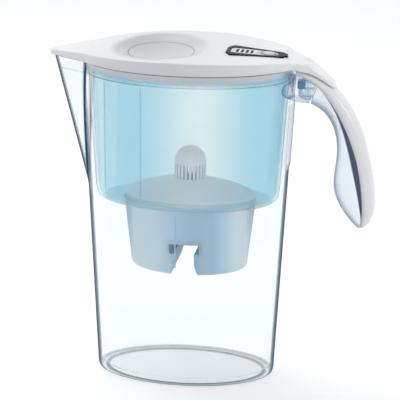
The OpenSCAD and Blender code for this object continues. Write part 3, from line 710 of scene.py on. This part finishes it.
def prism(name, outline, low, high, turn_to=None):
    """A straight prism up an outline from low to high, or where turn_to sends its points."""
    n = len(outline)
    pts = [(x, y, h) for h in (low, high) for x, y in outline]
    if turn_to:
        pts = [turn_to(*p) for p in pts]
    faces = [tuple(range(n - 1, -1, -1)), tuple(range(n, 2 * n))]
    faces += [(i, (i + 1) % n, n + (i + 1) % n, n + i) for i in range(n)]
    mesh = bpy.data.meshes.new(name)
    mesh.from_pydata([tuple(np.array(p) * MM) for p in pts], [], faces)
    mend(mesh)
    return add(name, mesh)


def carve(piece, tool, operation="DIFFERENCE"):
    """Cuts, joins or meets a piece with a tool, and takes the tool away."""
    cut = piece.modifiers.new("cut", "BOOLEAN")
    cut.operation, cut.object, cut.solver = operation, tool, "EXACT"
    bpy.context.view_layer.update()
    graph = bpy.context.evaluated_depsgraph_get()
    mesh = bpy.data.meshes.new_from_object(piece.evaluated_get(graph))
    piece.modifiers.clear()
    piece.data = mesh
    bpy.data.objects.remove(tool)
    mesh.set_sharp_from_angle(angle=math.radians(45))


def key_outline(g):
    """Side view of the tunnel, grown by g: a foot, a stem and a wider head."""
    half = [(11 + g, 87), (8 + g, 97), (8 + g, 106 - g), (12 + g, 106 - g), (12 + g, 114 + g)]
    return [(pocket_x + x, z) for x, z in half] + [(pocket_x - x, z) for x, z in half[::-1]]


def across_jug(x, z, y):
    """A side view's point at a distance y across the jug."""
    return x, y, z


# The tunnel's walls end at the pocket's outside
plug_rows = rows[:pocket_count] + [(pocket_x, 20.0, pocket_k, 139.0)]
plug = oval_rows([(c, a - 0.05, k, z + 0.05) for c, a, k, z in plug_rows], 120)
inside = skin("tunnel_bound", plug, cyan_tank, "hopper")
tunnel = prism("tunnel", key_outline(2.0), -40, 40, across_jug)
carve(tunnel, inside, "INTERSECT")
carve(hopper, tunnel, "UNION")
carve(hopper, prism("tunnel_cut", key_outline(0.0), -45, 45, across_jug))
outlet_x, outlet_r = 22.5, 3.5
for side in (-1, 1):
    ring = arc((pocket_x + side * outlet_x, 0), outlet_r, 0, 345, 24)
    carve(hopper, prism("outlet", ring, pocket_z - 2, pocket_z + 4))


def rib(name, x, z0, z1, half_at, k, cx=0.0):
    """A moulded rib down the near side of an oval wall at x, from z0 to z1, 0.7 mm proud.

    The oval's half-length is half_at(z), its share of width k and its middle cx. The rib fades
    out at its ends by the fortieth power of how far along it is.
    """
    z = np.linspace(z0, z1, 30)
    a = half_at(z)
    wall = -k * a * np.sqrt(1 - ((x - cx) / a) ** 2)
    ease = 0.7 * np.sqrt(np.clip(1 - (2 * (z - z0) / (z1 - z0) - 1) ** 40, 0, 1))
    section = np.array([(-0.6, 0.3), (-0.45, -1), (0.45, -1), (0.6, 0.3)])
    grid = np.zeros((len(z), 4, 3))
    grid[..., 0] = x + section[:, 0]
    grid[..., 1] = wall[:, None] + section[:, 1] * ease[:, None]
    grid[..., 2] = z[:, None]
    piece = skin(name, grid, cyan_tank, "hopper", fields={"bend": np.full((len(z), 4), 3.0)})


rib("tank_rib_1", -62.0, 154, 244, tank_half, tank_k)
rib("tank_rib_2", -31.0, 154, 244, tank_half, tank_k)
rib("pocket_rib", pocket_x - 7.0, 94, 138, pocket_half, pocket_k, pocket_x)

# ---- Cartridge -----------------------
# A white two-part plastic shell, welded round its flange, with screens over and under the
# granules. It drops into the pocket astride the tunnel, and its slotted turret stands in the tank.


def dress(name, node, material, bevel=0.0):
    """A merged copy of a CAD node's mesh that stands for it, with its edges rounded by bevel."""
    source = frame["nodes"][node]
    piece = settle(name, source.data.copy(), material, source["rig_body"], node, sharp=32.0,
                   merge=2e-6, outward=False)
    if bevel:
        edge = piece.modifiers.new("edge", "BEVEL")
        edge.width, edge.segments = bevel * MM, 2
        edge.limit_method, edge.angle_limit = "ANGLE", math.radians(40)


f = Finish("cartridge_white")
above_floor = ((f.axis("Z") - tank_floor) / 30.0).clamp()
colour = f.mix(above_floor, (0.78, 0.92, 0.98), (0.90, 0.95, 0.97))
cartridge_white = f.solid(colour, 0.35, Normal=f.pebble(1200.0, 0.00001))
dress("cartridge_shell", "cartridge_cup", cartridge_white)
dress("cartridge_top", "cartridge_cap", cartridge_white)
f = Finish("seal_silicone")
colour = f.mix(f.grain(500.0), (0.60, 0.64, 0.68), (0.68, 0.72, 0.75))
dress("cartridge_gasket", "cartridge_seal", f.solid(colour, 0.6))
f = Finish("granules")
beads = f.node("TexVoronoi", Vector=f.node("TexCoord", out=3), Scale=1400.0)
dark = f.mix(f.grain(700.0), (0.012, 0.012, 0.013), (0.05, 0.05, 0.052))
dress("cartridge_granules", "filter_media", f.solid(dark, 0.8, Normal=f.bump(beads, 0.0003)))
f = Finish("screen_cloth")
# Crossed threads: the sines of the places along and across the jug, multiplied
warp, weft = (f.axis(which) * 5.0 for which in "XY")
cross = warp.math("SINE", warp) * weft.math("SINE", weft)
colour = f.mix((cross * 0.5 + 0.5).clamp(), (0.52, 0.55, 0.58), (0.80, 0.82, 0.84))
cloth = f.solid(colour, 0.55, Normal=f.bump(cross, 0.0001))
dress("cartridge_inlet_screen", "inlet_screen", cloth)
dress("cartridge_outlet_screens", "outlet_screens", cloth)

# ---- Lid -----------------------------
# A white moulding: a low arch over the oval, a visor over the spout, a tail over the handle's
# root, a dish with the fill opening, and a plug ring inside the jug's rim.
lid_top, lid_arch, skirt_z, lid_wall = 266.7, 1000.0, 257.0, 2.2
dish_x, dish_wide, dish_r, dish_deep, opening_r = -22.0, 1.2, 36.0, 9.0, 26.0
plug_in, plug_draft, plug_top, plug_low = 4.3, 0.05, 260.3, 249.3
dish_ball = (dish_r ** 2 + dish_deep ** 2) / (2 * dish_deep)
dish_mid = lid_top - dish_deep + dish_ball
skirt_a = rim_a + 0.3 + lid_wall
tail_plan = np.array([(71, 31), (77, 27), (84, 18), (94.5, 12.5), (111, 9), (115, 6), (116, 0)])
way = np.radians(np.concatenate([np.arange(-24, 24, 0.4), np.arange(24, 146, 1.2),
                                 np.arange(146, 214, 0.5), np.arange(214, 336, 1.2)]))


def from_dish(turn, a, b):
    """Distance from the dish's middle to an ellipse about the jug's axis, in the direction turn.

    It is the larger root of the quadratic that puts the point on the ellipse.
    """
    c, s = np.cos(turn) / a, np.sin(turn) / b
    p, q = c * c + s * s, dish_x * c / a
    return (-q + np.sqrt(q * q - p * (dish_x ** 2 / a ** 2 - 1))) / p


def lid_reach(turn, z, inset):
    """The lid's plan about the dish's middle: the largest of its oval, its visor and its tail."""
    draft = 1.4 * np.clip(z - skirt_z, 0, None) / (lid_top + 2 - skirt_z)
    a = skirt_a - draft - inset
    body = from_dish(turn, a, oval * rim_a + 2.5 - draft - inset)
    visor = spout_radius(turn, spout_x - dish_x, nose_r + 2.5 - inset, 0.766)
    along, side = (tail_plan - np.array([dish_x, 0]))[::-1].T
    at, far = np.arctan2(side, along), np.hypot(along, side)
    swing = np.abs((turn + np.pi) % (2 * np.pi) - np.pi)
    tail = np.where(swing < at[-1], np.interp(swing, at, far) - inset, 0)
    return smooth_max(smooth_max(body, visor, 3.0), tail, 2.0)


def lid_surface(x, y):
    """The lid's top: an arch along the jug, lowered softly to the dish and to the tail."""
    arch = lid_top - lid_arch + np.sqrt(lid_arch ** 2 - x ** 2)
    r = np.hypot(x - dish_x, y / dish_wide)
    bowl = dish_mid - np.sqrt(np.clip(dish_ball ** 2 - r ** 2, 1, None))
    bowl = np.where(r < dish_ball * 0.9, bowl, 400)
    tail = np.interp(x, [71, 78, 94.5, 114, 115.2, 116],
                     [400, 263.45, 259.0, 244.5, 242.4, 241.4])
    top = -smooth_max(-arch, -bowl, 1.6)
    return np.where(x > 71, -smooth_max(-top, -tail, 1.2), top)


def lid_ring(r, z=None, under=0.0):
    """Ring of the distances r about the dish's middle, at the height z or under the lid's top."""
    x, y = dish_x + r * np.cos(way), r * np.sin(way)
    return np.stack([x, y, lid_surface(x, y) - under if z is None else z + 0 * x], 1)


# The dish's oval in each direction, for a radius of 1
oval_way = dish_wide / np.hypot(dish_wide * np.cos(way), np.sin(way))
edge_r = lid_reach(way, lid_top, 0.0)
under = bezier(cover_edge, np.linspace(0.032, 0.288, 40)) + np.array([0.3, 0.7])
under = np.concatenate([[(rim_a - 0.2, skirt_z)], under])


def lid_under(x):
    """Height of the lid's lower edge: the skirt's, or by the handle the cover's outline."""
    return np.interp(x, under[:, 0], under[:, 1])


# Out over the top from the opening to the edge, which is rounded by 1 mm
dish_rim = 41
rings = [lid_ring(r * oval_way) for r in
         (opening_r, 28, 30, 32, 34, 35, 35.7, 36.4, 37.2, 38.5, dish_rim)]
for s in (0.12, 0.25, 0.4, 0.55, 0.7, 0.82, 0.9, 0.96):
    rings.append(lid_ring(dish_rim * oval_way * (1 - s) + (edge_r - 1.0) * s))
x, y = dish_x + edge_r * np.cos(way), edge_r * np.sin(way)
edge_z = lid_surface(x, y)
for angle in np.radians([20, 45, 70, 90]):
    rings.append(lid_ring(edge_r - 1.0 + 1.0 * np.sin(angle), edge_z - 1.0 + 1.0 * np.cos(angle)))
# Down the skirt, in under it, and over the rim to the plug
low_z = lid_under(x)
for s in (0.25, 0.5, 0.75, 0.96, 1.0):
    z = edge_z - 1.0 + (low_z - edge_z + 1.0) * s
    rings.append(lid_ring(lid_reach(way, z, 0.0 if s < 1 else 0.4), z))
body_r = from_dish(way, skirt_a - 0.9, oval * rim_a + 1.6)
on_tail = smooth_step(edge_r - body_r, 0.3, 2.5) * (x > 60)
for s in (0.0, 0.25, 0.5, 0.75, 1.0):
    r = (lid_reach(way, skirt_z, lid_wall) * (1 - on_tail)
         + ((edge_r - 1.2) * (1 - s) + from_dish(way, 87.4, 56.0) * s) * on_tail)
    z_tail = np.minimum(lid_under(dish_x + r * np.cos(way)), edge_z + 40 * s - 1.6)
    rings.append(lid_ring(r, (skirt_z + 3.3 * s) * (1 - on_tail) + z_tail * on_tail))
plug_wide, plug_narrow = (from_dish(way, rim_a - inset, rim_a * oval - inset) for inset in
                          (plug_in, plug_in + plug_draft * (plug_top - plug_low)))
rings += [lid_ring(plug_wide, plug_top), lid_ring(plug_narrow, plug_low + 0.5),
          lid_ring(plug_narrow - 0.5, plug_low), lid_ring(plug_narrow - 1.4, plug_low),
          lid_ring(plug_narrow - 1.8, plug_low + 0.5)]
# Back to the opening under the top
for s in (1.0, 0.8, 0.6, 0.4, 0.2):
    r = 38 * oval_way * (1 - s) + (plug_wide - lid_wall) * s
    rings.append(lid_ring(r, under=lid_wall))
rings += [lid_ring(r * oval_way, under=lid_wall) for r in (36, 32, 28, opening_r)]
lid_points = np.array(rings + rings[:1])


def dish_shade(f):
    """Painted shade: 1 in the dish and softly 0 round it, darker towards the spout, from Object
    coordinates.
    """
    x, y = f.axis("X") - dish_x, f.axis("Y") / dish_wide
    r = (x * x + y * y) ** 0.5
    deep = ((dish_rim - r) / 7.0).clamp()
    return deep * (0.62 - x / 95.0).clamp()


f = Finish("lid_white")
# Painted shade: a little greyer in the middle, in the dish and down the skirt
down = ((259.5 - f.axis("Z")) / 8.0).clamp() * ((90.0 - f.axis("X")) / 4.0).clamp()
# Painted shade: greyer in the middle of the lid, paler towards both ends
away = (abs(f.axis("X") + 8.0) / 85.0).clamp() ** 1.5
colour = f.mix(away, (0.78, 0.79, 0.80), (0.92, 0.925, 0.93))
colour = f.mix(dish_shade(f), colour, (0.48, 0.50, 0.54))
colour = f.mix(down, colour, (0.72, 0.75, 0.80))
lid_white = f.solid(colour, 0.28, Coat_Weight=0.25, Normal=f.pebble())
lid = skin("lid_shell", lid_points, lid_white, "lid", "lid", sharp=42, ends=(False, False))
counter_x, counter_y = 54.0, -3.0


def in_counter(x, y, h):
    """From the counter's own frame, which leans with the arch, to the jug's: a turn about Y."""
    s = counter_x / lid_arch
    c = math.sqrt(1 - s * s)
    top = lid_top - lid_arch * (1 - c)
    return counter_x + x * c + h * s, counter_y + y, top - x * s + h * c


def counter_outline(g):
    """Corners of the counter's outline grown by g, wide towards the spout."""
    half = [(24 + g, 3.1), (20 + g / 2, 7.75 + g), (-20 - g / 2, 15.5 + g), (-24 - g, 7.75)]
    return half + [(x, -y) for x, y in half[::-1]]


carve(lid, prism("counter_seat", counter_outline(0.25), -1.2, 5, in_counter))
carve(lid, prism("counter_well", counter_outline(-1.1), -12, 2, in_counter))
# The ears that carry the flap's pin, round below and let into the lid above
hinge_x, ear_r = dish_x + opening_r + 4, 3.4
hinge_z = dish_mid - math.sqrt((dish_ball + lid_wall) ** 2 - opening_r ** 2) - 3.2
ear = np.concatenate([arc((hinge_x, hinge_z), ear_r, 180, 360, 13),
                      [(hinge_x + ear_r, hinge_z + 4), (hinge_x - ear_r, hinge_z + 4)]])
for side in (-1, 1):
    piece = prism("hinge_ear_%d" % (side + 2), ear, side * 13.5, side * 16.5, across_jug)
    piece.data.materials.append(lid_white)
    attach(piece, "lid")

# ---- Flap ----------------------------
# The white bowl that completes the dish. It tips on a steel pin under the weight of water, and
# a steel counterweight on two arms shuts it.
dress("flap_bowl", "fill_flap", lid_white, bevel=0.25)
f = Finish("ground_steel")
scratch = f.grain(3000.0, 4.0)
ground_steel = f.solid(f.mix(scratch, (0.45, 0.45, 0.46), (0.62, 0.62, 0.63)), 0.32,
                       Metallic=1.0, Normal=f.bump(scratch, 0.00001))
dress("hinge_pin", "flap_pin", ground_steel)
dress("counterweight", "flap_weight", ground_steel, bevel=0.3)

# ---- Counter -------------------------
# The filter-change counter: a glossy black bezel let into the lid, a clear panel over a small
# display with four bars, a round button, and below them a board, a coin cell and a tub.
spin = np.linspace(0, 2 * np.pi, 360, endpoint=False)


def outline_radius(outline, about, soften=2):
    """Distance to a convex outline in each direction, its corners rounded by a running mean."""
    p = np.array(outline + outline[:1])
    share = np.linspace(0, 1, 200, endpoint=False)[:, None]
    p = np.concatenate([a + (b - a) * share for a, b in zip(p[:-1], p[1:])])
    x, y = (p - np.array([about, 0])).T
    turn_to = np.arctan2(y, x) % (2 * np.pi)
    order = np.argsort(turn_to)
    r = np.interp(spin, turn_to[order], np.hypot(x, y)[order], period=2 * np.pi)
    return sum(np.roll(r, k) for k in range(-soften, soften + 1)) / (2 * soften + 1)


def counter_ring(r, h, about):
    """Ring of the distances r about a point on the counter's middle line, at the height h."""
    return np.stack(in_counter(about + r * np.cos(spin), r * np.sin(spin), h + 0 * spin), 1)


button_x, panel_mid, proud = 9.0, -4.0, 0.7
out_r = outline_radius(counter_outline(0.0), panel_mid, 3)
panel = [tuple(p) for p in np.concatenate([arc((button_x, 0), 7.5, -90, 90, 60),
                                           arc((-17.5, 4.5), 3, 90, 180, 20),
                                           arc((-17.5, -4.5), 3, 180, 270, 20)])]
in_r = outline_radius(panel, panel_mid, 0)
# Up the bezel's outside, over its rounded edge, in across its top and down round the panel
rows = [(out_r - 0.1, -1.1), (out_r, -0.9), (out_r, 0.0)]
rows += [(out_r - proud * (1 - math.cos(a)), proud * math.sin(a))
         for a in np.radians([20, 40, 60, 75, 90])]
rows += [(out_r * (1 - s) + in_r * s, proud) for s in (0.3, 0.7)]
rows += [(in_r + 0.35, proud), (in_r + 0.1, 0.62), (in_r, 0.4), (in_r, -0.9),
         (in_r + 0.1, -1.1), (out_r - 0.1, -1.1)]
f = Finish("bezel_black")
smudge = f.grain(90.0, 3.0)
bezel_black = f.solid(f.mix(smudge, (0.004, 0.004, 0.006), (0.010, 0.010, 0.013)),
                      0.12 + smudge * 0.08, Specular_IOR_Level=0.03,
                      Normal=f.pebble(900.0, 0.000004))
skin("counter_frame", np.array([counter_ring(r, h, panel_mid) for r, h in rows]), bezel_black,
     "lid", "counter_bezel", sharp=50, ends=(False, False))
bars_from, bars_to, bar_pitch, bar_half = -17.6, -2.7, 3.75, 5.0


def bar_share(f):
    """1 on the display's four bars, each a share of one pitch along X."""
    along, side_way = f.axis("X") - counter_x, f.axis("Y") - counter_y
    place = (along - bars_from) / bar_pitch
    repeat = place.math("FRACT", place)
    bar = ((repeat - 0.28) * 12.0).clamp() * ((0.95 - repeat) * 12.0).clamp()
    in_row = ((along - bars_from) * 4.0).clamp() * ((bars_to - along) * 4.0).clamp()
    return bar * ((bar_half - abs(side_way)) * 4.0).clamp() * in_row


f = Finish("counter_panel")
bars = bar_share(f)
silver = f.mix((f.axis("X") - 53.1).clamp(), (0.80, 0.84, 0.87), (0.66, 0.70, 0.76))
panel_tone = f.mix(bars, silver, (0.015, 0.016, 0.022))
lens = f.clear((0.97, 0.98, 0.99), panel_tone, bars * 0.03 + 0.95, gloss=0.3,
               Normal=f.pebble(300.0, 0.000004))
dress("counter_lens", "counter_window", lens)
f = Finish("counter_lcd")
bars = bar_share(f)
lcd = f.mix(bars, (0.80, 0.84, 0.87), (0.02, 0.022, 0.03))
dress("counter_screen", "counter_display", f.solid(lcd, 0.3, Normal=f.bump(bars, 0.00002)))
# The button's radii and heights, from under its flange to the dished middle of its top
rows = [(0.4, -2.1), (6.8, -2.1), (6.8, -1.3), (6.15, -1.25), (6.1, -1.2), (6.1, 0.75),
        (6.02, 0.98), (5.85, 1.08), (5.6, 1.1), (5.35, 1.06), (5.25, 0.95), (5.05, 0.92),
        (3.0, 0.86), (0.4, 0.84)]
f = Finish("button_key")
bx, by, _ = in_counter(button_x, 0.0, 0.0)
dx, dy = f.axis("X") - bx, f.axis("Y") - by
ring = ((dx * dx + dy * dy) ** 0.5).hump(5.45, 0.9)
button_key = f.solid(f.mix(ring, (0.62, 0.65, 0.70), (0.05, 0.055, 0.08)), 0.3,
                     Normal=f.pebble())
grid = np.array([counter_ring(r + 0 * spin, h, button_x) for r, h in rows])
skin("counter_key", grid, button_key, "button", "counter_button", sharp=50)
f = Finish("board_green")
track = f.grain(500.0, 3.0)
board = f.solid(f.mix(track, (0.010, 0.10, 0.045), (0.03, 0.20, 0.09)), 0.4,
                Normal=f.bump(track, 0.00003))
dress("counter_circuit", "counter_board", board)
f = Finish("cell_nickel")
colour = f.mix(f.grain(600.0), (0.50, 0.50, 0.51), (0.66, 0.66, 0.67))
nickel = f.solid(colour, 0.28, Metallic=1.0, Normal=f.pebble(2500.0, 0.00001))
dress("counter_cell", "coin_cell", nickel)
f = Finish("tub_grey")
colour = f.mix(f.grain(200.0), (0.60, 0.62, 0.66), (0.66, 0.68, 0.71))
dress("counter_tub", "counter_case", f.solid(colour, 0.45, Normal=f.pebble(1500.0, 0.00001)))

# ---- Studio --------------------------
# A plain pale floor with a white surround, and three broad soft lamps: one high over the
# spout's side, a weak one in front and one low behind the handle.
mesh = bpy.data.meshes.new("floor")
mesh.from_pydata([(-9, -9, 0), (9, -9, 0), (9, 9, 0), (-9, 9, 0)], [], [(0, 1, 2, 3)])
floor = add("floor", mesh)
f = Finish("floor_pale")
ground = f.node("BsdfPrincipled", Base_Color=(0.90, 0.905, 0.91), Roughness=0.6)
lift = f.node("Emission", Color=(1.0, 1.0, 1.0), Strength=f.seen() * 0.27)
mesh.materials.append(f.finish(make_node(f.tree, "AddShader", {}, {0: ground, 1: lift})))

f = Finish("studio", "worlds")
soft = f.node("Background", Color=(0.97, 0.975, 1.0), Strength=0.60)
white = f.node("Background", Color=(1.0, 1.0, 1.0), Strength=1.0)
scene.world = f.finish(f.blend(f.seen(), soft, white), "World")


def lamp(name, place, aim, size, power):
    """A round lamp at a place, turned to the point that it lights, its size in metres."""
    data = bpy.data.lights.new(name, "AREA")
    data.shape, data.size, data.energy = "DISK", size, power
    o = add(name, data)
    o.location = place
    o.rotation_euler = (Vector(aim) - Vector(place)).to_track_quat("-Z", "Y").to_euler()


lamp("key", (-0.5, 0.5, 1.6), (0.0, 0.0, 0.15), 0.9, 7.5)
lamp("fill", (-0.9, -1.1, 1.0), (0.0, 0.0, 0.15), 0.9, 0.8)
lamp("side", (1.4, -0.1, 0.75), (0.1, 0.0, 0.2), 0.6, 3.0)
scene.cycles.transparent_max_bounces = 32

# ---- Camera --------------------------
# The camera stands where the photograph was taken from: azimuth, elevation and roll in
# degrees, its distance, its focal length in pixels and the pixel that its axis meets.
azimuth, elevation, roll = (math.radians(v) for v in (8.634, 17.563, -0.593))
distance, focal_px, axis_px = 2.0, 2512.6, (187.372, 214.017)
back = Vector((math.sin(azimuth) * math.cos(elevation), -math.cos(azimuth) * math.cos(elevation),
               math.sin(elevation)))
right = Vector((math.cos(azimuth), math.sin(azimuth), 0.0))
up = back.cross(right)
dx, dy = 200 - axis_px[0], axis_px[1] - 200
u = dx * math.cos(roll) + dy * math.sin(roll)
v = dy * math.cos(roll) - dx * math.sin(roll)
ahead = (right * u + up * v - back * focal_px).normalized()
top = right * math.sin(roll) + up * math.cos(roll)
side = ahead.cross(top).normalized()
top = side.cross(ahead)
camera = add("camera", bpy.data.cameras.new("camera"))
camera.data.sensor_width = 36.0
camera.data.lens = 36.0 * focal_px / 400
camera.data.clip_end = 50.0
turned = Matrix((side, top, -ahead)).transposed().to_4x4()
turned.translation = Vector((0, 0, 0.130)) + back * distance
camera.matrix_world = turned
scene.camera = camera
